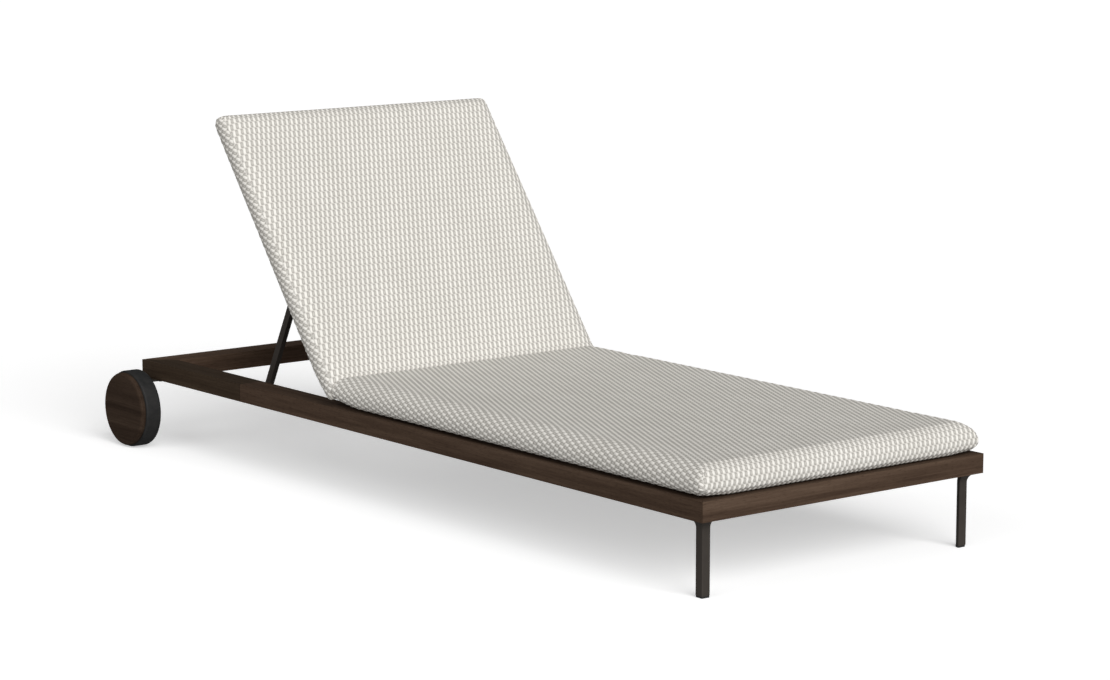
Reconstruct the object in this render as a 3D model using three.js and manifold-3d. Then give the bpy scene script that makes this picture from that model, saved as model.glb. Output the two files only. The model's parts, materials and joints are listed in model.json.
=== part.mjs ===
// Reclining sun lounger with a woven seat pad and a woven backrest pad.
//
// Millimetres. X is the width (the lounger is symmetric about x = 0), +Y runs from the foot end
// to the head end and +Z is up. The origin is on the floor, at the centre of the footprint.
// Left is -X, right is +X, as seen from the foot end looking at the head end.
//
// A low frame of four mitred wooden rails stands on two metal legs at the foot end and rolls on
// two wheels at the head end. The backrest turns on two pins between the side rails, and each of
// its two prop arms ends in a pin that drops into a toothed rack on the inside of a side rail.

import * as THREE from 'three';
import { mergeVertices } from 'three/addons/utils/BufferGeometryUtils.js';
import Module from 'manifold-3d';

const wasm = await Module();
wasm.setup();

// ---------------------------------------------------------------- driving dimensions

const GAP = 0.3; // left between touching pieces

const FRAME_LENGTH = 2100;
const FRAME_WIDTH = 780;
const RAIL_WIDTH = 63;
const RAIL_HEIGHT = 42;
const RAIL_TOP = 202;
const RAIL_BOTTOM = RAIL_TOP - RAIL_HEIGHT;
const RAIL_INNER = FRAME_WIDTH / 2 - RAIL_WIDTH;

const SLAT_SIZE = [70, 16]; // along Y, along Z
const SLAT_COUNT = 4;
const SLAT_FIRST_Y = 190;
const SLAT_PITCH = 285;
const LEDGER_SIZE = [20, 23]; // along X, along Z
const CROSS_RAIL_Y = [1225, 1265];

const LEG_SIZE = 21.3;
const LEG_INSET_X = 22; // from the side rail's outer face to the leg's
const LEG_INSET_Y = 24.5; // from the foot rail's outer face to the leg's
const LEG_FILLET = 20; // the leg's outer faces curve out to meet the rails
const LEG_PLATE = [42, 3];
const GLIDE_HEIGHT = 4;

const WHEEL_RADIUS = 93;
const WHEEL_Y = 2058;
const WHEEL_INNER = 419;
const WHEEL_OUTER = 472.5;
const WHEEL_FACE = 12; // thickness of the wooden face disc
const WHEEL_FACE_RADIUS = 89;
const TYRE_INNER_RADIUS = 81;
const BRACKET_WIDTH = 45;
const BRACKET_THICKNESS = 4;
const BRACKET_OUTER = 410;
const AXLE_RADIUS = 6;

const PAD_THICKNESS = 65;
// Radii of a pad's corners in plan, of its edge on the frame's side and of its edge on the
// sitter's side.
const SEAT_PAD_ROUND = { corner: 18, under: 22, over: 42 };
const BACK_PAD_ROUND = { corner: 11, under: 29, over: 35 };
const SEAT_PAD_WIDTH = 779;
const SEAT_PAD_BOTTOM = 203;
const CREASE_Y = 1281; // where the seat pad and the backrest pad meet
const BACK_PAD_WIDTH = 784;
const BACK_PAD_TOP = 760;

const HINGE_Y = 1321.5;
const HINGE_Z = 193.2;
const BACK_ANGLE = 52.7; // the backrest's rise from flat, in degrees
const BACK_TUBE = 20;
const BACK_TUBE_OUTER = 304;
const BACK_FRAME_TOP = 705;
const BACK_PAD_OFFSET = BACK_TUBE / 2 + GAP;
const BACK_SLATS = [170, 345, 520];
const BACK_SLAT_SIZE = [60, 8];
const PIN_RADIUS = 5;
const HOLE_RADIUS = PIN_RADIUS + GAP;

const PROP_PIVOT = 328; // from the backrest hinge, along the backrest
const PROP_LENGTH = 293; // between the arm's two pins
const PROP_ANGLE = 63; // the arm's slope below the horizontal, in degrees
const PROP_TURN = 1.19; // degrees the arm's slope changes by for each degree of the backrest
const PROP_WIDTH = 18;
const PROP_INNER = 306;
const PROP_OUTER = 318;

const RACK_THICKNESS = 5;
const RACK_BOTTOM = 163;
const RACK_CLEARANCE = 1; // between the arm's pin and the tips of the teeth
const RACK_NOTCH_DEPTH = 6;
const RACK_STOP_TOP = 199;
const RACK_POSITIONS = [52.7, 44, 33, 20, 0]; // backrest angles with a notch

const OVERALL_LENGTH = WHEEL_Y + WHEEL_RADIUS;

// ---------------------------------------------------------------- materials

const material = (color, roughness, metalness) =>
  new THREE.MeshStandardMaterial({ color, roughness, metalness });
const WOOD = material(0x3b2c25, 0.55, 0);
const DARK_METAL = material(0x35322f, 0.5, 0.7);
const STEEL = material(0x8c8c8a, 0.35, 1);
const RUBBER = material(0x1d1d1d, 0.85, 0);
const PLASTIC = material(0x262524, 0.6, 0);
const FABRIC = material(0xdad7cf, 0.95, 0);

// ---------------------------------------------------------------- helpers

const lounger = new THREE.Group();
lounger.position.y = -OVERALL_LENGTH / 2;

function add(name, geometry, mat) {
  const mesh = new THREE.Mesh(geometry, mat);
  mesh.name = name;
  lounger.add(mesh);
}

function merged(geometry) {
  const bare = geometry.clone();
  bare.deleteAttribute('normal');
  bare.deleteAttribute('uv');
  return mergeVertices(bare, 1e-3);
}

function toSolid(geometry) {
  const source = merged(geometry);
  return new wasm.Manifold(new wasm.Mesh({
    numProp: 3,
    vertProperties: new Float32Array(source.attributes.position.array),
    triVerts: new Uint32Array(source.index.array),
  }));
}

function toGeometry(solid) {
  const mesh = solid.getMesh();
  const geometry = new THREE.BufferGeometry();
  const positions = new Float32Array(mesh.vertProperties);
  geometry.setAttribute('position', new THREE.BufferAttribute(positions, 3));
  geometry.setIndex(new THREE.BufferAttribute(new Uint32Array(mesh.triVerts), 1));
  return geometry;
}

function cut(geometry, ...tools) {
  return toGeometry(tools.reduce((solid, tool) => solid.subtract(toSolid(tool)), toSolid(geometry)));
}

function join(geometry, ...others) {
  return toGeometry(others.reduce((solid, other) => solid.add(toSolid(other)), toSolid(geometry)));
}

function keep(geometry, region) {
  return toGeometry(toSolid(geometry).intersect(toSolid(region)));
}

// The same shape on the other side of the plane x = 0.
function mirrored(geometry) {
  const copy = merged(geometry);
  copy.scale(-1, 1, 1);
  const index = copy.index.array;
  for (let i = 0; i < index.length; i += 3) {
    [index[i], index[i + 1]] = [index[i + 1], index[i]];
  }
  return copy;
}

const onSide = (side, geometry) => (side < 0 ? mirrored(geometry) : geometry);

const shapeOf = (points) => new THREE.Shape(points.map(([a, b]) => new THREE.Vector2(a, b)));

function extruded(shape, depth) {
  return new THREE.ExtrudeGeometry(shape, { depth, bevelEnabled: false, curveSegments: 8 });
}

// A plan outline in X and Y, from z0 up to z1.
const prismZ = (points, z0, z1) => extruded(shapeOf(points), z1 - z0).translate(0, 0, z0);

// An outline in Y and Z, from x0 to x1.
const TO_X = new THREE.Matrix4().set(0, 0, 1, 0, 1, 0, 0, 0, 0, 1, 0, 0, 0, 0, 0, 1);
function shapeX(shape, x0, x1) {
  return extruded(shape, x1 - x0).applyMatrix4(TO_X).translate(x0, 0, 0);
}
const prismX = (points, x0, x1) => shapeX(shapeOf(points), x0, x1);

// An outline in X and Z, from y0 to y1.
const TO_Y = new THREE.Matrix4().set(1, 0, 0, 0, 0, 0, -1, 0, 0, 1, 0, 0, 0, 0, 0, 1);
function prismY(points, y0, y1) {
  return extruded(shapeOf(points), y1 - y0).applyMatrix4(TO_Y).translate(0, y1, 0);
}

const rectangle = (a0, a1, b0, b1) => [[a0, b0], [a1, b0], [a1, b1], [a0, b1]];
const block = (x0, x1, y0, y1, z0, z1) => prismZ(rectangle(x0, x1, y0, y1), z0, z1);

// A turned piece about an axis along X. The profile lists [x, radius] and closes on the axis.
function turnedX(profile, y, z, segments = 20) {
  const points = profile.map(([x, radius]) => new THREE.Vector2(radius, x));
  return new THREE.LatheGeometry(points, segments).rotateZ(-Math.PI / 2).translate(0, y, z);
}

function cylinderX(radius, x0, x1, y, z, segments = 20) {
  return turnedX([[x0, 0], [x0, radius], [x1, radius], [x1, 0]], y, z, segments);
}

// A ring about an axis along X: the profile is a closed loop away from the axis.
function ringX(profile, y, z, segments = 24) {
  return turnedX([...profile, profile[0]], y, z, segments);
}

function cylinderZ(radius, x, y, z0, z1, segments = 10) {
  const cylinder = new THREE.CylinderGeometry(radius, radius, z1 - z0, segments);
  return cylinder.rotateX(Math.PI / 2).translate(x, y, (z0 + z1) / 2);
}

const radians = (degrees) => THREE.MathUtils.degToRad(degrees);

// ---------------------------------------------------------------- wooden base

// A screw that goes straight up into a rail, its head below a metal plate.
const SCREW = { head: 5, headHeight: 3, shank: 2.3, reach: 26 };

function screwUp(x, y, z) {
  const { head, headHeight, shank, reach } = SCREW;
  const profile = [[0, 0], [head - 1, 0], [head, 1], [head, headHeight], [shank, headHeight],
    [shank, reach], [0, reach]];
  const points = profile.map(([radius, height]) => new THREE.Vector2(radius, height));
  return new THREE.LatheGeometry(points, 12).rotateX(Math.PI / 2).translate(x, y, z - headHeight);
}

const screwHole = (x, y, z) => cylinderZ(SCREW.shank + GAP, x, y, z, RAIL_BOTTOM + SCREW.reach);

const halfWidth = FRAME_WIDTH / 2;
const legScrews = [
  [halfWidth - LEG_INSET_X - 32, LEG_INSET_Y + 10],
  [halfWidth - LEG_INSET_X - 10, LEG_INSET_Y + 32],
];
const bracketScrews = [[372, WHEEL_Y - 12], [378, WHEEL_Y + 10]];

const sideRailPlan = [
  [halfWidth, 0], [halfWidth, FRAME_LENGTH],
  [RAIL_INNER, FRAME_LENGTH - RAIL_WIDTH], [RAIL_INNER, RAIL_WIDTH],
];
const holeBottom = RAIL_BOTTOM - 1;
const sideRail = cut(
  prismZ(sideRailPlan, RAIL_BOTTOM, RAIL_TOP),
  screwHole(...legScrews[1], holeBottom),
  ...bracketScrews.map(([x, y]) => screwHole(x, y, holeBottom)),
);

const mitreGap = GAP * Math.SQRT2;
function endRail(y, direction) {
  const inner = RAIL_INNER - mitreGap;
  const outer = halfWidth - mitreGap;
  const plan = [
    [-outer, y], [outer, y],
    [inner, y + direction * RAIL_WIDTH], [-inner, y + direction * RAIL_WIDTH],
  ];
  return prismZ(direction > 0 ? plan : plan.reverse(), RAIL_BOTTOM, RAIL_TOP);
}

const [footScrewX, footScrewY] = legScrews[0];
add('foot_rail', cut(
  endRail(0, 1),
  screwHole(footScrewX, footScrewY, holeBottom),
  screwHole(-footScrewX, footScrewY, holeBottom),
), WOOD);
add('head_rail', endRail(FRAME_LENGTH, -1), WOOD);

const spanX = RAIL_INNER - GAP;
add('hinge_cross_rail', block(-spanX, spanX, ...CROSS_RAIL_Y, RAIL_BOTTOM, RAIL_TOP), WOOD);
for (let i = 0; i < SLAT_COUNT; i += 1) {
  const y = SLAT_FIRST_Y + i * SLAT_PITCH;
  const [depth, height] = SLAT_SIZE;
  const slat = block(-spanX, spanX, y - depth / 2, y + depth / 2, RAIL_TOP - height, RAIL_TOP);
  add(`seat_slat_${i + 1}`, slat, WOOD);
}

const ledgerTop = RAIL_TOP - SLAT_SIZE[1] - GAP;
const ledger = block(
  spanX - LEDGER_SIZE[0], spanX,
  RAIL_WIDTH + GAP, CROSS_RAIL_Y[0] - GAP,
  ledgerTop - LEDGER_SIZE[1], ledgerTop,
);

// ---------------------------------------------------------------- legs

// Quarter-round section with its square corner outwards. Inset 0 is the leg's outer corner and
// both coordinates grow inwards; the two outer faces flare out below the rail.
function legSection(flare) {
  const size = LEG_SIZE;
  const flat = [[0, 1.6], [0.5, 0.5], [1.6, 0], [size - 1.5, 0]];
  const steps = 6;
  const round = Array.from({ length: steps + 1 }, (_, i) => {
    const angle = radians(4 + (82 * i) / steps);
    return [size * Math.cos(angle), size * Math.sin(angle)];
  });
  const outline = [...flat, ...round, [0, size - 1.5]];
  return outline.map(([a, b]) => [a - flare * (1 - a / size), b - flare * (1 - b / size)]);
}

// A solid through rings of [x, y] points at rising heights.
function loft(rings, heights) {
  const count = rings[0].length;
  const positions = rings.flatMap((ring, level) => ring.flatMap(([x, y]) => [x, y, heights[level]]));
  const index = [];
  for (let level = 0; level < rings.length - 1; level += 1) {
    for (let i = 0; i < count; i += 1) {
      const a = level * count + i;
      const b = level * count + ((i + 1) % count);
      index.push(a, b, b + count, a, b + count, a + count);
    }
  }
  const cap = THREE.ShapeUtils.triangulateShape(rings[0].map(([x, y]) => new THREE.Vector2(x, y)), []);
  const top = (rings.length - 1) * count;
  for (const [a, b, c] of cap) {
    index.push(a, c, b, top + a, top + b, top + c);
  }
  const geometry = new THREE.BufferGeometry();
  geometry.setAttribute('position', new THREE.Float32BufferAttribute(positions, 3));
  geometry.setIndex(index);
  return geometry;
}

const legTop = RAIL_BOTTOM - GAP;
const filletTurn = radians(80);
const filletSteps = 7;
const legLevels = [[GLIDE_HEIGHT + GAP, 0]];
for (let i = 0; i <= filletSteps; i += 1) {
  const angle = (filletTurn * i) / filletSteps;
  const drop = LEG_FILLET * (Math.sin(filletTurn) - Math.sin(angle));
  legLevels.push([legTop - drop, LEG_FILLET * (1 - Math.cos(angle))]);
}
// In plan the leg stands at the foot end of the right side rail: inset runs along -X and +Y.
const toPlan = ([a, b]) => [halfWidth - LEG_INSET_X - a, LEG_INSET_Y + b];
const legRings = legLevels.map(([, flare]) => legSection(flare).map(toPlan).reverse());
const legPost = loft(legRings, legLevels.map(([height]) => height));

const [plateSize, plateThickness] = LEG_PLATE;
const legPlate = block(
  halfWidth - LEG_INSET_X - plateSize, halfWidth - LEG_INSET_X - 1,
  LEG_INSET_Y + 1, LEG_INSET_Y + plateSize,
  legTop - plateThickness, legTop,
);
const leg = cut(
  join(legPost, legPlate),
  ...legScrews.map(([x, y]) => cylinderZ(SCREW.shank + GAP, x, y, legTop - 10, legTop + 10)),
);
const glideRing = legSection(-1).map(toPlan).reverse();
const glide = loft([glideRing, glideRing], [0, GLIDE_HEIGHT]);

// ---------------------------------------------------------------- wheels

const bracketTop = RAIL_BOTTOM - GAP;
const bracketYs = [WHEEL_Y - BRACKET_WIDTH / 2, WHEEL_Y + BRACKET_WIDTH / 2];

// The plate lies under the rail, bends down past its outer face and ends round about the axle.
function bracketProfile() {
  const bend = 9;
  const centre = [BRACKET_OUTER - bend, bracketTop - bend];
  const arc = (radius, from, to) => Array.from({ length: 6 }, (_, i) => {
    const angle = radians(from + ((to - from) * i) / 5);
    return [centre[0] + radius * Math.cos(angle), centre[1] + radius * Math.sin(angle)];
  });
  return [
    [345, bracketTop - BRACKET_THICKNESS],
    ...arc(bend - BRACKET_THICKNESS, 90, 0),
    [BRACKET_OUTER - BRACKET_THICKNESS, 60],
    [BRACKET_OUTER, 60],
    ...arc(bend, 0, 90),
    [345, bracketTop],
  ];
}

const bracketEnd = new THREE.Shape();
bracketEnd.moveTo(bracketYs[0], 400);
bracketEnd.lineTo(bracketYs[0], WHEEL_RADIUS);
bracketEnd.absarc(WHEEL_Y, WHEEL_RADIUS, BRACKET_WIDTH / 2, Math.PI, 2 * Math.PI, false);
bracketEnd.lineTo(bracketYs[1], 400);
const wheelBracket = cut(
  keep(prismY(bracketProfile(), ...bracketYs), shapeX(bracketEnd, 300, 440)),
  cylinderX(AXLE_RADIUS + GAP, 380, 430, WHEEL_Y, WHEEL_RADIUS),
  ...bracketScrews.map(([x, y]) => cylinderZ(SCREW.shank + GAP, x, y, bracketTop - 20, bracketTop + 5)),
);

// Fixed axle: a threaded end through the bracket, a collar that keeps the wheel off the bracket,
// and a journal that ends inside the wheel.
const collarEnd = WHEEL_INNER - GAP;
const journalEnd = 449;
const axle = turnedX([
  [394, 0], [394, AXLE_RADIUS], [BRACKET_OUTER + GAP, AXLE_RADIUS],
  [BRACKET_OUTER + GAP, 10], [collarEnd, 10], [collarEnd, AXLE_RADIUS],
  [journalEnd, AXLE_RADIUS], [journalEnd, 0],
], WHEEL_Y, WHEEL_RADIUS, 24);

function hexagonRing(acrossFlats, hole, x0, x1, y, z) {
  const radius = acrossFlats / Math.sqrt(3);
  const corners = Array.from({ length: 6 }, (_, i) => {
    const angle = radians(60 * i);
    return [y + radius * Math.cos(angle), z + radius * Math.sin(angle)];
  });
  return cut(prismX(corners, x0, x1), cylinderX(hole, x0 - 1, x1 + 1, y, z));
}

const nutEnd = BRACKET_OUTER - BRACKET_THICKNESS - GAP;
const axleNut = hexagonRing(19, AXLE_RADIUS + GAP, nutEnd - 8, nutEnd, WHEEL_Y, WHEEL_RADIUS);

const retainer = ringX([
  [446.2, AXLE_RADIUS + GAP], [446.2, 9.5], [448.2, 9.5], [448.2, AXLE_RADIUS + GAP],
], WHEEL_Y, WHEEL_RADIUS, 20);

const bushEnd = 445.8;
const bush = ringX([
  [WHEEL_INNER, AXLE_RADIUS + GAP], [WHEEL_INNER, 10], [bushEnd, 10], [bushEnd, AXLE_RADIUS + GAP],
], WHEEL_Y, WHEEL_RADIUS, 24);

const faceStart = WHEEL_OUTER - WHEEL_FACE;
const coreEnd = faceStart - GAP;
const coreStart = WHEEL_INNER + 3;
const coreRadius = TYRE_INNER_RADIUS - GAP;
const wheelCore = ringX([
  [coreStart, 10 + GAP], [coreStart, coreRadius], [coreEnd, coreRadius], [coreEnd, 10 + GAP],
], WHEEL_Y, WHEEL_RADIUS, 48);

const rim = WHEEL_FACE_RADIUS;
const wheelFace = turnedX([
  [faceStart, 0], [faceStart, rim - 1], [faceStart + 2, rim], [WHEEL_OUTER - 5, rim],
  [WHEEL_OUTER - 1.5, rim - 2], [WHEEL_OUTER, rim - 6], [WHEEL_OUTER, 0],
], WHEEL_Y, WHEEL_RADIUS, 56);

const tread = WHEEL_RADIUS;
const tyre = ringX([
  [WHEEL_INNER, TYRE_INNER_RADIUS], [WHEEL_INNER, tread - 5], [WHEEL_INNER + 1.5, tread - 1.5],
  [WHEEL_INNER + 5, tread], [coreEnd - 4, tread], [coreEnd - 1.2, tread - 1.2],
  [coreEnd, tread - 4], [coreEnd, TYRE_INNER_RADIUS],
], WHEEL_Y, WHEEL_RADIUS, 56);

// ---------------------------------------------------------------- pads

// A rectangle with rounded corners, counter-clockwise.
function roundedRectangle(x0, x1, y0, y1, radius) {
  const steps = 4;
  const centres = [
    [x1 - radius, y0 + radius], [x1 - radius, y1 - radius],
    [x0 + radius, y1 - radius], [x0 + radius, y0 + radius],
  ];
  return centres.flatMap(([x, y], corner) => Array.from({ length: steps + 1 }, (_, i) => {
    const angle = radians(90 * (corner - 1) + (90 * i) / steps);
    return [x + radius * Math.cos(angle), y + radius * Math.sin(angle)];
  }));
}

// A flat pad over a plan rectangle, from z0 up, with rounded corners and edges.
function roundedPad(x0, x1, y0, y1, z0, { corner, under, over }) {
  const levels = [];
  for (const degrees of [0, 20, 40, 65, 90]) {
    const angle = radians(degrees);
    levels.push([z0 + under * (1 - Math.cos(angle)), under * (1 - Math.sin(angle))]);
  }
  for (const degrees of [90, 74, 58, 43, 28, 14, 0]) {
    const angle = radians(degrees);
    const drop = over * (1 - Math.cos(angle));
    levels.push([z0 + PAD_THICKNESS - drop, over * (1 - Math.sin(angle))]);
  }
  const rings = levels.map(([, inset]) => roundedRectangle(
    x0 + inset, x1 - inset, y0 + inset, y1 - inset, corner,
  ));
  return loft(rings, levels.map(([height]) => height));
}

// The seat pad ends upright at the crease, with its top edge eased.
const seatTop = SEAT_PAD_BOTTOM + PAD_THICKNESS;
const seatEnd = CREASE_Y - 0.4;
const seatRegion = prismX([
  [-100, 100], [seatEnd, 100], [seatEnd, seatTop - 11], [seatEnd - 3, seatTop - 5],
  [seatEnd - 9, seatTop - 1], [seatEnd - 14, seatTop + 20], [-100, seatTop + 20],
], -500, 500);
const halfSeat = SEAT_PAD_WIDTH / 2;
const seatSlab = roundedPad(
  -halfSeat, halfSeat, 1, CREASE_Y + 150, SEAT_PAD_BOTTOM, SEAT_PAD_ROUND,
);
add('seat_pad', keep(seatSlab, seatRegion), FABRIC);

// Backrest coordinates are [across, along, out]: along the frame from the hinge line, out from
// the middle of its tubes towards the pad.
const tilt = new THREE.Matrix4().makeRotationX(radians(BACK_ANGLE)).setPosition(0, HINGE_Y, HINGE_Z);
const reclined = (geometry) => geometry.applyMatrix4(tilt);

// The backrest pad ends upright at the crease and level above the rails.
const backEnd = CREASE_Y + 0.4;
const backRegion = prismX([
  [backEnd, 203.8], [1304, 203.8], [1318, 210], [1333.5, 226], [2400, 226], [2400, 1200],
  [backEnd, 1200],
], -500, 500);
const halfBack = BACK_PAD_WIDTH / 2;
const backSlab = roundedPad(
  -halfBack, halfBack, -150, BACK_PAD_TOP, BACK_PAD_OFFSET, BACK_PAD_ROUND,
);
add('back_pad', keep(reclined(backSlab), backRegion), FABRIC);

// ---------------------------------------------------------------- backrest frame

const tubeInner = BACK_TUBE_OUTER - BACK_TUBE;
const halfTube = BACK_TUBE / 2;
const frameSpan = tubeInner - GAP;
const stileTop = BACK_FRAME_TOP - BACK_TUBE - GAP;

function stile() {
  const outline = new THREE.Shape();
  outline.moveTo(0, -halfTube);
  outline.lineTo(stileTop, -halfTube);
  outline.lineTo(stileTop, halfTube);
  outline.lineTo(0, halfTube);
  outline.absarc(0, 0, halfTube, Math.PI / 2, 1.5 * Math.PI, false);
  const bar = shapeX(outline, tubeInner, BACK_TUBE_OUTER);
  const boreEnd = BACK_TUBE_OUTER - 18 - GAP;
  return cut(
    bar,
    cylinderX(HOLE_RADIUS, boreEnd, BACK_TUBE_OUTER + 1, 0, 0),
    cylinderX(HOLE_RADIUS, boreEnd, BACK_TUBE_OUTER + 1, PROP_PIVOT, 0),
  );
}

const bottomRail = block(-frameSpan, frameSpan, -halfTube, halfTube, -halfTube, halfTube);
const topRail = block(
  -BACK_TUBE_OUTER, BACK_TUBE_OUTER, BACK_FRAME_TOP - BACK_TUBE, BACK_FRAME_TOP, -halfTube, halfTube,
);
add('back_bottom_rail', reclined(bottomRail), DARK_METAL);
add('back_top_rail', reclined(topRail), DARK_METAL);
BACK_SLATS.forEach((along, i) => {
  const [width, thickness] = BACK_SLAT_SIZE;
  const slat = block(
    -frameSpan, frameSpan, along - width / 2, along + width / 2, halfTube - thickness, halfTube,
  );
  add(`back_slat_${i + 1}`, reclined(slat), DARK_METAL);
});

// ---------------------------------------------------------------- hinges

const plateOuter = RAIL_INNER - GAP;
const hingePlate = cut(
  block(plateOuter - RACK_THICKNESS, plateOuter, HINGE_Y - 30, HINGE_Y + 30, 166, 200),
  cylinderX(HOLE_RADIUS, 310, 340, HINGE_Y, HINGE_Z),
);
const plateInner = plateOuter - RACK_THICKNESS;
const hingePin = turnedX([
  [BACK_TUBE_OUTER - 18, 0], [BACK_TUBE_OUTER - 18, PIN_RADIUS], [BACK_TUBE_OUTER + 0.5, PIN_RADIUS],
  [BACK_TUBE_OUTER + 0.5, 8], [plateInner - GAP, 8], [plateInner - GAP, PIN_RADIUS],
  [plateOuter - 0.2, PIN_RADIUS], [plateOuter - 0.2, 0],
], HINGE_Y, HINGE_Z);

// ---------------------------------------------------------------- prop arms and racks

// Where the arm's two pins are with the backrest at a given angle.
function propPins(backAngle) {
  const back = radians(backAngle);
  const slope = radians(PROP_ANGLE - PROP_TURN * (BACK_ANGLE - backAngle));
  const upper = [HINGE_Y + PROP_PIVOT * Math.cos(back), HINGE_Z + PROP_PIVOT * Math.sin(back)];
  const lower = [upper[0] + PROP_LENGTH * Math.cos(slope), upper[1] - PROP_LENGTH * Math.sin(slope)];
  return { upper, lower };
}

const { upper: propTop, lower: propFoot } = propPins(BACK_ANGLE);

function propArm() {
  const radius = PROP_WIDTH / 2;
  const outline = new THREE.Shape();
  outline.absarc(0, 0, radius, Math.PI / 2, 1.5 * Math.PI, false);
  outline.absarc(PROP_LENGTH, 0, radius, -Math.PI / 2, Math.PI / 2, false);
  for (const along of [0, PROP_LENGTH]) {
    const hole = new THREE.Path();
    hole.absarc(along, 0, HOLE_RADIUS, 0, 2 * Math.PI, true);
    outline.holes.push(hole);
  }
  const turn = new THREE.Matrix4().makeRotationX(radians(-PROP_ANGLE));
  return shapeX(outline, PROP_INNER, PROP_OUTER).applyMatrix4(turn).translate(0, ...propTop);
}

// A pin through the arm's lower end that reaches over the rack. Its flat head clears the stile
// when the arm lies beside it.
const headInner = BACK_TUBE_OUTER + 0.4;
const propPin = turnedX([
  [headInner, 0], [headInner, 7], [PROP_INNER - GAP, 7], [PROP_INNER - GAP, PIN_RADIUS],
  [plateOuter - 0.3, PIN_RADIUS], [plateOuter - 0.3, 0],
], ...propFoot);

// A flat-headed bolt through the arm's upper end into the backrest tube.
const propBolt = turnedX([
  [BACK_TUBE_OUTER - 18, 0], [BACK_TUBE_OUTER - 18, PIN_RADIUS], [PROP_OUTER + GAP, PIN_RADIUS],
  [PROP_OUTER + GAP, 8], [PROP_OUTER + 2.6, 8], [PROP_OUTER + 2.6, 0],
], ...propTop);

// The rack's top edge follows the lower pin's path. Each notch is a small U, and a stop stands
// beyond the first and the last of them.
function rackOutline() {
  const toothTop = (z) => z - PIN_RADIUS - RACK_CLEARANCE;
  const half = PIN_RADIUS + 1;
  const depth = RACK_NOTCH_DEPTH;
  const edge = [];
  RACK_POSITIONS.forEach((angle, i) => {
    const [y, z] = propPins(angle).lower;
    const top = toothTop(z);
    const first = i === 0;
    const last = i === RACK_POSITIONS.length - 1;
    edge.push([y - half, first ? RACK_STOP_TOP : top]);
    edge.push([y - half + 0.6, top - depth + 2.5], [y - half + 3, top - depth]);
    edge.push([y + half - 3, top - depth], [y + half - 0.6, top - depth + 2.5]);
    edge.push([y + half, last ? RACK_STOP_TOP : top]);
    if (!last) {
      const next = RACK_POSITIONS[i + 1];
      const limit = propPins(next).lower[0] - half - 2;
      for (const share of [0.2, 0.4, 0.6, 0.8]) {
        const [ym, zm] = propPins(angle + (next - angle) * share).lower;
        if (ym > y + half + 2 && ym < limit) {
          edge.push([ym, toothTop(zm)]);
        }
      }
    }
  });
  const start = edge[0][0] - 14;
  const end = edge[edge.length - 1][0] + 14;
  return [
    [start, RACK_BOTTOM], [end, RACK_BOTTOM], [end, RACK_STOP_TOP],
    ...edge.reverse(), [start, RACK_STOP_TOP],
  ];
}

const rack = prismX(rackOutline(), plateOuter - RACK_THICKNESS, plateOuter);

// ---------------------------------------------------------------- pieces on both sides

for (const [label, side] of [['left', -1], ['right', 1]]) {
  const pieces = [
    ['side_rail', sideRail, WOOD],
    ['ledger', ledger, WOOD],
    ['leg', leg, DARK_METAL],
    ['leg_glide', glide, PLASTIC],
    ['leg_screw_foot', screwUp(...legScrews[0], legTop - plateThickness - GAP), STEEL],
    ['leg_screw_side', screwUp(...legScrews[1], legTop - plateThickness - GAP), STEEL],
    ['wheel_bracket', wheelBracket, DARK_METAL],
    ['axle', axle, STEEL],
    ['axle_nut', axleNut, STEEL],
    ['axle_retainer', retainer, STEEL],
    ['hub_bush', bush, PLASTIC],
    ['wheel_core', wheelCore, PLASTIC],
    ['wheel_face', wheelFace, WOOD],
    ['tyre', tyre, RUBBER],
    ['hinge_plate', hingePlate, DARK_METAL],
    ['hinge_pin', hingePin, STEEL],
    ['back_stile', reclined(stile()), DARK_METAL],
    ['prop_arm', propArm(), DARK_METAL],
    ['prop_pin', propPin, STEEL],
    ['prop_bolt', propBolt, STEEL],
    ['rack', rack, DARK_METAL],
  ];
  bracketScrews.forEach(([x, y], i) => {
    const screw = screwUp(x, y, bracketTop - BRACKET_THICKNESS - GAP);
    pieces.push([`bracket_screw_${i + 1}`, screw, STEEL]);
  });
  for (const [name, geometry, mat] of pieces) {
    add(`${name}_${label}`, onSide(side, geometry), mat);
  }
}

export default lounger;
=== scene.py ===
"""Looks of a reclining sun lounger: dark wood frame, two wheels, two woven pads.

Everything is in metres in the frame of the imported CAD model: X across, Y from foot to head,
Z up, origin on the floor below the middle. The foot end faces -Y.
"""

import json
import math

import bpy
import numpy as np
from mathutils import Matrix, Vector


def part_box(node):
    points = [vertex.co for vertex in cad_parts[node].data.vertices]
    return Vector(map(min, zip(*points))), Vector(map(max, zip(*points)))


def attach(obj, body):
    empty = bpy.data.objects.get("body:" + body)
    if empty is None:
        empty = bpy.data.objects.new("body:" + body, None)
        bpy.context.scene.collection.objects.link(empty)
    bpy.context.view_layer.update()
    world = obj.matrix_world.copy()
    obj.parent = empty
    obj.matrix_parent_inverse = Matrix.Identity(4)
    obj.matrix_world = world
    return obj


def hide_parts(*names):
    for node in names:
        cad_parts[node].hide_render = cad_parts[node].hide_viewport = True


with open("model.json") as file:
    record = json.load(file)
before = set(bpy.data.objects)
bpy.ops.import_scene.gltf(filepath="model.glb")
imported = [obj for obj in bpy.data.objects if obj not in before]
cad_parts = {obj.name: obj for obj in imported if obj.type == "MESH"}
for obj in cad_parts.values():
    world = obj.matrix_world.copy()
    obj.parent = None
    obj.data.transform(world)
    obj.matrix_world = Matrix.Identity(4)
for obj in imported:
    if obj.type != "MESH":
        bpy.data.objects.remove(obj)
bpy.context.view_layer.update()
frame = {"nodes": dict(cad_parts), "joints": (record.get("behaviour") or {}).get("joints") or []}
nodes = frame["nodes"]
scene = bpy.context.scene

# ---------------------------------------------------------------- camera

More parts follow.
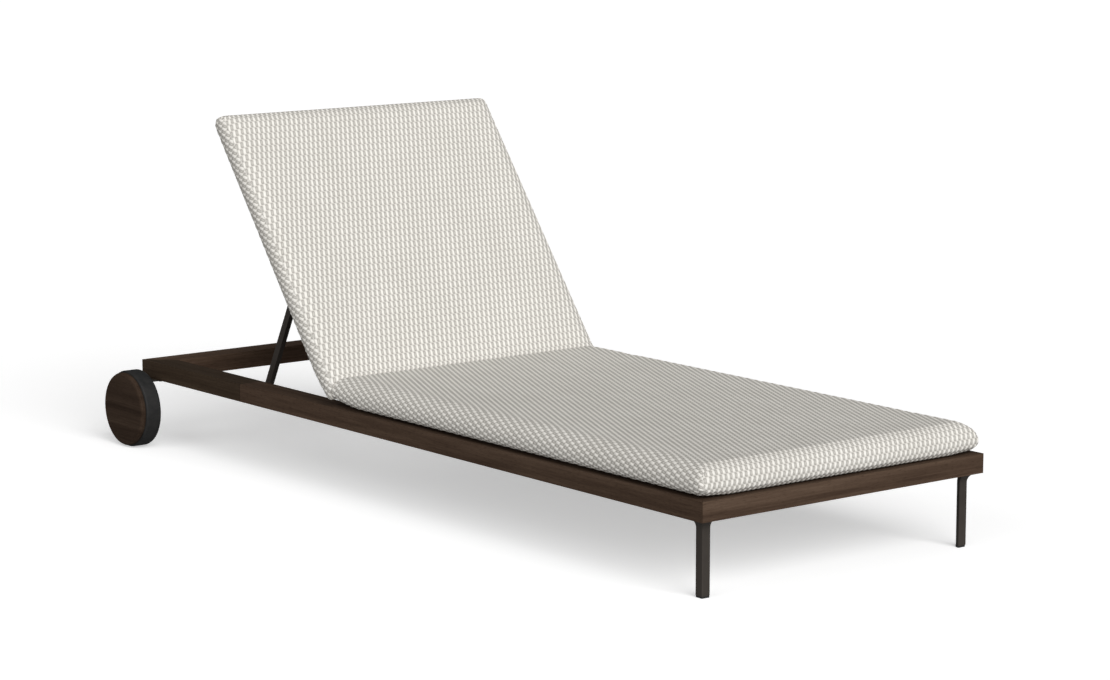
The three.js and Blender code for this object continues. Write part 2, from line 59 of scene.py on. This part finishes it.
CAMERA_PLACE = (-4.427, -5.7218, 1.544)
CAMERA_YAW = 38.306  # degrees to the right of +Y
CAMERA_PITCH = 9.425  # degrees down
CAMERA_LENS = 104.46
SENSOR_WIDTH = 36

camera = bpy.data.objects.new("camera", bpy.data.cameras.new("camera"))
camera.data.lens = CAMERA_LENS
camera.data.sensor_width = SENSOR_WIDTH
camera.data.clip_end = 200
camera.location = CAMERA_PLACE
camera.rotation_euler = (math.radians(90 - CAMERA_PITCH), 0, -math.radians(CAMERA_YAW))
scene.collection.objects.link(camera)
scene.camera = camera

# ---------------------------------------------------------------- studio

scene.view_settings.view_transform = "Standard"
scene.view_settings.look = "None"

SKY_STRENGTH = 0.12
FLOOR_SEEN = (0.85, 0.85, 0.85)  # the floor as the camera sees it
FLOOR_BOUNCE = (0.4, 0.4, 0.4)  # and as it lights the lounger from below
FLOOR_GLOW = 0.46  # seen only by the camera


def sun(name, strength, azimuth, elevation, spread):
    """A soft light from far away. Azimuth 0 comes from -Y and 90 from +X, all in degrees."""
    data = bpy.data.lights.new(name, "SUN")
    data.energy = strength
    data.angle = math.radians(spread)
    lamp = bpy.data.objects.new(name, data)
    a, e = math.radians(azimuth), math.radians(elevation)
    toward = Vector((math.sin(a) * math.cos(e), -math.cos(a) * math.cos(e), math.sin(e)))
    lamp.rotation_mode = "QUATERNION"
    lamp.rotation_quaternion = toward.to_track_quat("Z", "Y")
    scene.collection.objects.link(lamp)


sun("front_key", 1.7, -12, 36, 45)
sun("front_fill", 1.4, -5, 20, 50)
sun("left_fill", 1.02, -80, 20, 60)

world = bpy.data.worlds.new("studio")
world.use_nodes = True
scene.world = world
tree = world.node_tree
tree.nodes.clear()
world_out = tree.nodes.new("ShaderNodeOutputWorld")
seen = tree.nodes.new("ShaderNodeBackground")
seen.inputs["Strength"].default_value = 1.0
seen.inputs["Color"].default_value = (1, 1, 1, 1)
lit = tree.nodes.new("ShaderNodeBackground")
lit.inputs["Strength"].default_value = SKY_STRENGTH
lit.inputs["Color"].default_value = (1, 1, 1, 1)
rays = tree.nodes.new("ShaderNodeLightPath")
mix = tree.nodes.new("ShaderNodeMixShader")
tree.links.new(rays.outputs["Is Camera Ray"], mix.inputs[0])
tree.links.new(lit.outputs[0], mix.inputs[1])
tree.links.new(seen.outputs[0], mix.inputs[2])
tree.links.new(mix.outputs[0], world_out.inputs[0])

# ---------------------------------------------------------------- materials


class Shader:
    """A material with a Principled shader and short calls to add nodes."""

    def __init__(self, name, roughness=0.5, metallic=0.0, specular=0.5):
        self.material = bpy.data.materials.new(name)
        self.material.use_nodes = True
        self.tree = self.material.node_tree
        self.tree.nodes.clear()
        out = self.tree.nodes.new("ShaderNodeOutputMaterial")
        self.main = self.tree.nodes.new("ShaderNodeBsdfPrincipled")
        self.tree.links.new(self.main.outputs[0], out.inputs["Surface"])
        self.set("Roughness", roughness)
        self.set("Metallic", metallic)
        self.set("Specular IOR Level", specular)

    def set(self, socket, value):
        self.main.inputs[socket].default_value = value

    def link(self, source, socket):
        self.tree.links.new(source, self.main.inputs[socket])

    def node(self, kind, sockets=(), **options):
        made = self.tree.nodes.new("ShaderNode" + kind)
        for key, value in options.items():
            setattr(made, key, value)
        for key, value in dict(sockets).items():
            if isinstance(value, bpy.types.NodeSocket):
                self.tree.links.new(value, made.inputs[key])
            else:
                made.inputs[key].default_value = value
        return made

    def math(self, operation, a, b=0.0, c=0.0):
        return self.node("Math", {0: a, 1: b, 2: c}, operation=operation).outputs[0]

    def place(self, scale=(1, 1, 1), shift=(0, 0, 0)):
        """Object coordinates, stretched and shifted."""
        where = self.node("TexCoord").outputs["Object"]
        return self.node(
            "Mapping", {"Vector": where, "Scale": scale, "Location": shift}
        ).outputs[0]

    def noise(self, vector, scale, detail=4.0, roughness=0.55, distortion=0.0):
        made = self.node("TexNoise", {
            "Vector": vector, "Scale": scale, "Detail": detail, "Roughness": roughness,
            "Distortion": distortion,
        })
        return made.outputs["Fac"]

    def ramp(self, factor, stops):
        """Colour ramp; stops are (position, colour) pairs."""
        made = self.node("ValToRGB", {"Fac": factor})
        points = made.color_ramp.elements
        while len(points) < len(stops):
            points.new(0.5)
        for point, (position, colour) in zip(points, stops):
            point.position = position
            point.color = (*colour, 1)
        return made.outputs[0]

    def blend(self, factor, first, second, how="MIX"):
        """Mixes two colours."""
        made = self.node("Mix", data_type="RGBA", blend_type=how)
        for index, value in ((0, factor), (6, first), (7, second)):
            if isinstance(value, bpy.types.NodeSocket):
                self.tree.links.new(value, made.inputs[index])
            elif index:
                made.inputs[index].default_value = (*value, 1)
            else:
                made.inputs[index].default_value = value
        return made.outputs[2]

    def spread(self, factor, low, high):
        """Maps 0 to 1 onto low to high."""
        return self.node("MapRange", {"Value": factor, "To Min": low, "To Max": high}).outputs[0]

    def bump(self, height, distance, strength=1.0):
        made = self.node("Bump", {"Height": height, "Distance": distance, "Strength": strength})
        self.link(made.outputs[0], "Normal")


BOARD_JOINT_Y = 0.585  # each side rail is made of two boards, end to end
HEAD_BOARD_TINT = (0.66, 0.70, 0.67)  # the board towards the head is darker
SEAM_COLOUR = (0.008, 0.006, 0.005)
SEAM_HALF_WIDTH = 0.0005


def wood(name, axis, seed, tone=1.0, joint=False):
    """Dark stained wood with fine straight grain along the axis, 0 for X and 1 for Y."""
    made = Shader(name, specular=0.05)
    scale = [1.0, 1.0, 1.0]
    scale[axis] = 0.035
    where = made.place(scale, (seed * 3.7, seed * 1.9, seed * 2.3))
    broad = made.noise(where, 38, 3, 0.5, 0.6)
    fine = made.noise(where, 260, 5, 0.65, 0.3)
    scale[axis] = 0.06
    pores = made.noise(made.place(scale, (seed, seed * 5.1, seed * 0.7)), 1100, 2, 0.5)
    grain = made.math("ADD", made.math("MULTIPLY", broad, 0.6), made.math("MULTIPLY", fine, 0.4))
    colour = made.ramp(grain, [
        (0.30, (0.042 * tone, 0.0252 * tone, 0.0168 * tone)),
        (0.46, (0.069 * tone, 0.0435 * tone, 0.0292 * tone)),
        (0.56, (0.089 * tone, 0.0575 * tone, 0.0392 * tone)),
        (0.70, (0.118 * tone, 0.0790 * tone, 0.0550 * tone)),
    ])
    open_pores = made.ramp(pores, [(0.33, (0.5, 0.47, 0.45)), (0.44, (1, 1, 1))])
    colour = made.blend(0.7, colour, open_pores, "MULTIPLY")
    if joint:
        along = made.node("SeparateXYZ", {0: made.place()}).outputs[1]
        beyond = made.math("GREATER_THAN", along, BOARD_JOINT_Y)
        head_board = made.blend(1.0, colour, HEAD_BOARD_TINT, "MULTIPLY")
        colour = made.blend(beyond, colour, head_board)
        seam = made.math("COMPARE", along, BOARD_JOINT_Y, SEAM_HALF_WIDTH)
        colour = made.blend(seam, colour, SEAM_COLOUR)
    made.link(colour, "Base Color")
    made.link(made.spread(grain, 0.80, 0.62), "Roughness")
    made.bump(made.math("ADD", made.math("MULTIPLY", pores, 0.7), fine), 0.00012, 0.6)
    return made.material


def powder_coat(name):
    """Dark bronze powder coat: an even, finely pebbled satin film."""
    made = Shader(name, roughness=0.5, metallic=0.1, specular=0.2)
    where = made.place()
    cloud = made.noise(where, 14, 3)
    made.link(made.ramp(cloud, [
        (0.35, (0.041, 0.0340, 0.0290)), (0.65, (0.051, 0.0430, 0.0368)),
    ]), "Base Color")
    grit = made.noise(where, 1500, 2)
    made.link(made.spread(grit, 0.44, 0.58), "Roughness")
    made.bump(grit, 0.00008, 0.5)
    return made.material


def steel(name):
    """Turned stainless steel with fine marks."""
    made = Shader(name, metallic=1.0)
    where = made.place()
    marks = made.noise(where, 600, 3)
    made.link(made.ramp(marks, [(0.3, (0.42, 0.41, 0.39)), (0.7, (0.60, 0.59, 0.57))]),
              "Base Color")
    made.link(made.spread(marks, 0.24, 0.38), "Roughness")
    made.bump(marks, 0.00004, 0.4)
    return made.material


def rubber(name):
    """Matte black rubber, slightly dusty."""
    made = Shader(name, specular=0.35)
    where = made.place()
    dust = made.noise(where, 60, 5, 0.6)
    made.link(made.ramp(dust, [
        (0.35, (0.011, 0.011, 0.011)), (0.7, (0.022, 0.021, 0.020)),
    ]), "Base Color")
    made.link(made.spread(dust, 0.62, 0.8), "Roughness")
    made.bump(made.noise(where, 900, 2), 0.0001, 0.5)
    return made.material


def plastic(name):
    """Dark moulded plastic with a fine spark-eroded texture."""
    made = Shader(name, specular=0.4)
    where = made.place()
    grain = made.noise(where, 1200, 2)
    made.link(made.ramp(grain, [(0.3, (0.016, 0.016, 0.016)), (0.7, (0.024, 0.024, 0.023))]),
              "Base Color")
    made.link(made.spread(grain, 0.42, 0.55), "Roughness")
    made.bump(grain, 0.00008, 0.5)
    return made.material


# ---------------------------------------------------------------- frame parts

WOOD_ALONG_Y = ("side_rail", "ledger")
WOOD_ALONG_X = ("foot_rail", "head_rail", "hinge_cross_rail", "seat_slat")
WHEEL_TONE = 0.52  # the wheels' faces are darker than the rails
HEAD_RAIL_PAINTED_LIGHT_TONE = 1.5  # painted light: the head rail is made lighter, standing in for light that reaches its inner face under the backrest
STEEL_PIECES = ("leg_screw", "axle", "hinge_pin", "prop_pin", "prop_bolt", "bracket_screw")
PLASTIC_PIECES = ("leg_glide", "hub_bush", "wheel_core")
METAL_PIECES = ("leg", "wheel_bracket", "hinge_plate", "back_bottom_rail", "back_top_rail",
                "back_slat", "back_stile", "prop_arm", "rack")
# Radius of the eased edges, in metres.
WOOD_EDGE = 0.0012
METAL_EDGE = 0.0006
# Angles between faces, in degrees, above which an edge is shown sharp and above which it is eased.
SHARP_ANGLE = 32
EASED_ANGLE = 50

coat = powder_coat("dark_bronze_coat")
steel_finish = steel("turned_steel")
rubber_finish = rubber("tyre_rubber")
plastic_finish = plastic("dark_plastic")


def finish_for(name, index):
    """The material of a CAD node and the radius of its eased edges."""
    if name.startswith(STEEL_PIECES):
        return steel_finish, 0
    if name.startswith(PLASTIC_PIECES):
        return plastic_finish, 0
    if name.startswith("tyre"):
        return rubber_finish, 0
    if name.startswith("wheel_face"):
        return wood(f"wood_{name}", 1, index, WHEEL_TONE), 0
    if name.startswith(WOOD_ALONG_Y):
        return wood(f"wood_{name}", 1, index, joint="rail" in name), WOOD_EDGE
    if name.startswith(WOOD_ALONG_X):
        # painted light: only the head rail gets the lighter tone
        tone = HEAD_RAIL_PAINTED_LIGHT_TONE if name == "head_rail" else 1.0
        return wood(f"wood_{name}", 0, index, tone), WOOD_EDGE
    if name.startswith(METAL_PIECES):
        return coat, METAL_EDGE
    return None, 0


for index, name in enumerate(sorted(nodes)):
    finish, edge = finish_for(name, index)
    if finish is None:
        continue
    node = nodes[name]
    node.data.materials.clear()
    node.data.materials.append(finish)
    node.data.shade_smooth()
    node.data.set_sharp_from_angle(angle=math.radians(SHARP_ANGLE))
    if edge:
        bevel = node.modifiers.new("eased_edges", "BEVEL")
        bevel.width = edge
        bevel.segments = 2
        bevel.limit_method = "ANGLE"
        bevel.angle_limit = math.radians(EASED_ANGLE)
        bevel.harden_normals = True

# ---------------------------------------------------------------- woven pads

VOXEL = 0.009  # grid of the remeshed pad before it is blown up
START_INSET = 0.0025  # the pad swells, so it starts smaller
PRESSURE = 4.0  # of the air inside the cover
SIM_FRAMES = 20
SWELL_CAP = 0.0045  # furthest that the filling pushes the cover
WEAVE_PITCH = 0.0066  # between neighbouring cords
SEAT_ROW = 0.0142  # between rows of loops on the seat
BACK_ROW = 0.0170  # between rows of loops on the backrest
SIDE_ROW = 0.0142  # between rows of loops on the backrest's sides
LEAN = 0.13  # sideways swing of a cord in each loop, in pitches
OVERLAP = 0.14  # how much wider the raised loops are than the cords that cross them
CORD_HEIGHT = 0.0018  # how far the raised loops stand over the gaps
CROSS_HEIGHT = 0.0013  # the same for the crossing cord between them
CORD_FULLNESS = 1.9  # a higher value gives flatter cords with steeper flanks
# Radii of the pads' edges on the frame's side and on the sitter's side.
SEAT_EDGE = (0.022, 0.042)
BACK_EDGE = (0.029, 0.035)
CREASE_REACH = 0.025  # the pads are made this much longer at the crease, then cut flush there
SIDE_LIFT = 0.0035  # how far the seat pad's underside is off the rails along both sides
PINCH_LIFT = 0.016  # the lower corners lift at the crease, where the cover is pulled in
PINCH_WIDTH = 0.09  # how far in from the side the lift fades
PINCH_REACH = 0.06  # how far along the seat it fades
CUT_TOLERANCE = 0.0005  # finds the corners of the CAD pads at the crease
UNDERSIDE_GAP = 0.0002
SIDE_FACING = 0.72  # part of the normal along X above which the backrest's side weave starts


def evaluated_mesh(obj):
    """A new mesh of the object with its modifiers applied."""
    bpy.context.view_layer.update()
    graph = bpy.context.evaluated_depsgraph_get()
    return bpy.data.meshes.new_from_object(obj.evaluated_get(graph))


def points(mesh, field="co"):
    """The vertices as rows of X, Y and Z: their places, or their normals."""
    count = len(mesh.vertices)
    flat = np.empty(count * 3)
    if field == "co":
        mesh.vertices.foreach_get("co", flat)
    else:
        mesh.vertex_normals.foreach_get("vector", flat)
    return flat.reshape(count, 3)


def set_points(mesh, values):
    mesh.vertices.foreach_set("co", values.ravel())
    mesh.update()


def swap_mesh(obj, mesh):
    obj.modifiers.clear()
    old = obj.data
    obj.data = mesh
    bpy.data.meshes.remove(old)


def blow_up(obj, rest):
    """Fills the cover with air for a moment, as Blender's cloth, and keeps a limited swelling.

    Only the part of the movement that points outwards is kept.
    """
    cloth = obj.modifiers.new("Cloth", "CLOTH")
    settings = cloth.settings
    settings.quality = 5
    settings.mass = 0.3
    settings.tension_stiffness = 15
    settings.compression_stiffness = 15
    settings.shear_stiffness = 5
    settings.bending_stiffness = 0.5
    settings.use_pressure = True
    settings.uniform_pressure_force = PRESSURE
    settings.effector_weights.gravity = 0
    cloth.point_cache.frame_start = 1
    cloth.point_cache.frame_end = SIM_FRAMES
    for step in range(1, SIM_FRAMES + 1):
        scene.frame_set(step)
    swollen = points(evaluated_mesh(obj))
    obj.modifiers.clear()
    scene.frame_set(1)
    outward = points(obj.data, "normal")
    swell = np.sum((swollen - rest) * outward, axis=1, keepdims=True)
    return rest + outward * np.clip(swell, START_INSET, SWELL_CAP)


def wrap(along, height, side, edge):
    """Arc length from a pad's middle over its side, and on underneath.

    The height is measured from the widest level, and the edge is rounded by edge[0] below it
    and by edge[1] above it.
    """
    under, over = edge
    start, below = side - over, side - under
    above = start + over * np.arctan2(np.maximum(along - start, 0), np.maximum(height, 1e-6))
    turned = under * np.arctan2(-height, np.maximum(along - below, 1e-6))
    lower = start + over * np.pi / 2 + turned + np.maximum(below - along, 0)
    return np.where(height < 0, lower, np.where(along > start, above, along))


def woven_relief(a, b):
    """Height of the cover in metres, 0 at the top of the loops, from its cord coordinates."""
    swing = a - LEAN * np.sin(2 * np.pi * b)
    over = (np.cos(np.pi * swing) * np.cos(np.pi * b) + OVERLAP) / (1 + OVERLAP)
    raised = CORD_HEIGHT * (1 - (1 - np.clip(over, 0, 1)) ** CORD_FULLNESS)
    crossing = CROSS_HEIGHT * (1 - (1 - np.clip(-over, 0, 1)) ** CORD_FULLNESS)
    return raised + crossing - CORD_HEIGHT


def clear_of_crease(row, node):
    """Keeps a woven cover on its own side of the crease, where the CAD pads face each other."""
    box_low, box_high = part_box(node)
    if node == "seat_pad":
        row[:, 1] = np.minimum(row[:, 1], box_high[1])
    else:
        row[:, 1] = np.maximum(row[:, 1], box_low[1])
    return row


def make_pad(name, node, body, to_pad, lengthen, limits, weave):
    """Builds one pad: lengthened, remeshed, blown up, cut back to its limits, then woven.

    to_pad turns the common frame into the pad's own: X across, Y along, Z out to the sitter.
    """
    pad = bpy.data.objects.new(name, nodes[node].data.copy())
    scene.collection.objects.link(pad)
    reach = lengthen(points(pad.data))
    pad.data.transform(to_pad)
    shape = points(pad.data)
    low, high = shape.min(0), shape.max(0)
    set_points(pad.data, shape + reach)
    grid = pad.modifiers.new("grid", "REMESH")
    grid.mode = "VOXEL"
    grid.voxel_size = VOXEL
    swap_mesh(pad, evaluated_mesh(pad))
    rest = points(pad.data) - START_INSET * points(pad.data, "normal")
    set_points(pad.data, rest)
    rest = blow_up(pad, rest)
    set_points(pad.data, rest)
    finer = pad.modifiers.new("finer", "SUBSURF")
    finer.levels = finer.render_levels = 2
    swap_mesh(pad, evaluated_mesh(pad))
    mesh = pad.data
    shape = limits(points(mesh), low, high, to_pad)
    set_points(mesh, shape)
    normal = points(mesh, "normal").copy()
    a, b = weave(shape, normal, low, high, to_pad)
    set_points(mesh, shape + normal * woven_relief(a, b)[:, None])
    store = mesh.attributes.new("weave", "FLOAT_VECTOR", "POINT")
    store.data.foreach_set("vector", np.stack([a, b, 0 * a], 1).astype(np.float32).ravel())
    mesh.transform(to_pad.inverted())
    set_points(mesh, clear_of_crease(points(mesh), node))
    mesh.shade_smooth()
    mesh.materials.clear()
    mesh.materials.append(cloth_finish)
    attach(pad, body)
    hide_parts(node)


def woven_cloth(name):
    """Cover of thick cream cords: raised loops, twisted strands, crossing cords painted greyer
    (partly their own colour, partly painted shade) and painted shade in the grooves between cords.
    """
    made = Shader(name, specular=0.1)
    cell = made.node("Attribute", attribute_name="weave").outputs["Vector"]
    parts = made.node("SeparateXYZ", {0: cell})
    a, b = parts.outputs[0], parts.outputs[1]
    swing = made.math("MULTIPLY", made.math("SINE", made.math("MULTIPLY", b, 2 * math.pi)), LEAN)
    across = made.math("SUBTRACT", a, swing)
    over = made.math(
        "MULTIPLY",
        made.math("COSINE", made.math("MULTIPLY", across, math.pi)),
        made.math("COSINE", made.math("MULTIPLY", b, math.pi)),
    )
    half = made.math("MULTIPLY_ADD", over, 0.5, 0.5)
    # painted shade: colour follows the height of the weave and is darkest in the grooves between
    # cords; the crossing cords are greyer, partly their own colour and partly painted shade
    colour = made.ramp(half, [
        (0.08, (0.565, 0.543, 0.506)),
        (0.36, (0.36, 0.342, 0.312)),
        (0.50, (0.63, 0.607, 0.565)),
        (0.66, (0.81, 0.786, 0.738)),
        (0.92, (0.86, 0.838, 0.790)),
    ])
    # Twisted strands: slanted lines three to a cord.
    twist = made.math("ADD", made.math("MULTIPLY", across, 3.0), made.math("MULTIPLY", b, 2.5))
    lines = made.math("SINE", made.math("MULTIPLY", twist, 2 * math.pi))
    strand = made.math("MULTIPLY_ADD", lines, 0.5, 0.5)
    colour = made.blend(0.25, colour, made.ramp(strand, [
        (0.0, (0.82, 0.81, 0.80)), (0.6, (1, 1, 1)),
    ]), "MULTIPLY")
    where = made.place()
    patch = made.noise(where, 9, 4, 0.6)
    fibre = made.noise(where, 700, 3, 0.6)
    colour = made.blend(0.5, colour, made.ramp(patch, [
        (0.3, (0.90, 0.895, 0.885)), (0.7, (1, 1, 1)),
    ]), "MULTIPLY")
    colour = made.blend(0.4, colour, made.ramp(fibre, [
        (0.3, (0.86, 0.86, 0.85)), (0.65, (1, 1, 1)),
    ]), "MULTIPLY")
    made.link(colour, "Base Color")
    made.link(made.spread(fibre, 0.82, 0.95), "Roughness")
    made.bump(made.math("ADD", strand, made.math("MULTIPLY", fibre, 0.8)), 0.0003, 0.5)
    return made.material


cloth_finish = woven_cloth("woven_cord_cover")


def seat_lengthen(row):
    """How far each corner of the CAD pad moves past the crease, in the pad's frame."""
    return np.outer(row[:, 1] > row[:, 1].max() - CUT_TOLERANCE, (0, CREASE_REACH, 0))


def pinch(row, low, high):
    """How far the underside near both sides lifts where the two pads meet."""
    level = np.clip((high[2] - row[:, 2]) / (high[2] - low[2]), 0, 1)
    near_side = np.clip((np.abs(row[:, 0]) - high[0] + PINCH_WIDTH) / PINCH_WIDTH * 1.5, 0, 1)
    return PINCH_LIFT * level * near_side ** 2 * (3 - 2 * near_side)


def seat_limits(shape, low, high, to_pad):
    """Flat underneath, and clear of the backrest pad."""
    shape = shape.copy()
    shape[:, 2] = np.maximum(shape[:, 2], low[2] + UNDERSIDE_GAP)
    shape[:, 1] = np.minimum(shape[:, 1], high[1])
    fade = np.exp((shape[:, 1] - high[1]) / PINCH_REACH)
    shape[:, 2] += pinch(shape, low, high) * np.maximum(fade, SIDE_LIFT / PINCH_LIFT)
    return shape


def seat_weave(shape, normal, low, high, to_pad):
    """Cord coordinates: across the cords, and along them in rows of loops."""
    x, y, z = shape.T
    height = z - low[2] - SEAT_EDGE[0]
    arc_x = np.sign(x) * wrap(np.abs(x), height, high[0], SEAT_EDGE)
    arc_y = -wrap(-y, height, -low[1], SEAT_EDGE)
    side = np.abs(normal[:, 0]) > np.abs(normal[:, 1])
    s = np.where(side, arc_x, x)
    t = np.where(side, y, arc_y)
    return s / WEAVE_PITCH, t / SEAT_ROW


def back_lengthen(row):
    """How far each corner of the CAD pad moves past the crease, in the pad's frame."""
    low = row.min(0)
    cut = (row[:, 1] < low[1] + CUT_TOLERANCE) | (row[:, 2] < low[2] + CUT_TOLERANCE)
    return np.outer(cut, (0, -CREASE_REACH, 0))


def back_limits(shape, low, high, to_pad):
    """Flat on the frame behind it, and clear of the seat pad and the rails."""
    shape = shape.copy()
    shape[:, 2] = np.maximum(shape[:, 2], low[2] + UNDERSIDE_GAP)
    turn = np.array(to_pad.to_3x3())
    shift = np.array(to_pad.translation)
    row = (shape - shift) @ turn
    box_low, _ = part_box("back_pad")
    _, seat_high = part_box("seat_pad")
    row[:, 1] = np.maximum(row[:, 1], box_low[1])
    row[:, 2] = np.maximum(row[:, 2], box_low[2])
    row[:, 2] += pinch(row, box_low, (high[0], high[1], seat_high[2]))
    return row @ turn.T + shift


def back_weave(shape, normal, low, high, to_pad):
    """Cord coordinates as on the seat, with cords along the frame on the sides."""
    x, y, z = shape.T
    height = z - low[2] - BACK_EDGE[0]
    arc_x = np.sign(x) * wrap(np.abs(x), height, high[0], BACK_EDGE)
    arc_y = wrap(y, height, high[1], BACK_EDGE)
    turn = np.array(to_pad.to_3x3())
    row = (shape - np.array(to_pad.translation)) @ turn
    side = np.abs(normal[:, 0]) > SIDE_FACING
    s = np.where(side, row[:, 2], arc_x)
    t = np.where(side, row[:, 1], arc_y)
    return s / WEAVE_PITCH, t / np.where(side, SIDE_ROW, BACK_ROW)


hinge = next(j for j in frame["joints"] if j["name"] == "back_recline")
hinge_place = Vector(hinge["pos_m"])
recline = -math.radians(hinge["range_deg"][0])  # the backrest lies flat at that limit
to_back = Matrix.Rotation(-recline, 4, "X") @ Matrix.Translation(-hinge_place)

make_pad("seat_cushion", "seat_pad", "base", Matrix.Identity(4),
         seat_lengthen, seat_limits, seat_weave)
make_pad("back_cushion", "back_pad", "back", to_back,
         back_lengthen, back_limits, back_weave)

# ---------------------------------------------------------------- floor

FLOOR_SIZE = 60.0
floor_mesh = bpy.data.meshes.new("floor")
half = FLOOR_SIZE / 2
floor_mesh.from_pydata(
    [(-half, -half, 0), (half, -half, 0), (half, half, 0), (-half, half, 0)], [], [(0, 1, 2, 3)]
)
floor = bpy.data.objects.new("floor", floor_mesh)
scene.collection.objects.link(floor)
paper = Shader("pale_floor", roughness=0.9, specular=0.0)
paper.set("Emission Color", (FLOOR_GLOW, FLOOR_GLOW, FLOOR_GLOW, 1))
seen_directly = paper.node("LightPath").outputs["Is Camera Ray"]
paper.link(seen_directly, "Emission Strength")
paper.link(paper.ramp(seen_directly, [(0, FLOOR_BOUNCE), (1, FLOOR_SEEN)]), "Base Color")
floor_mesh.materials.append(paper.material)
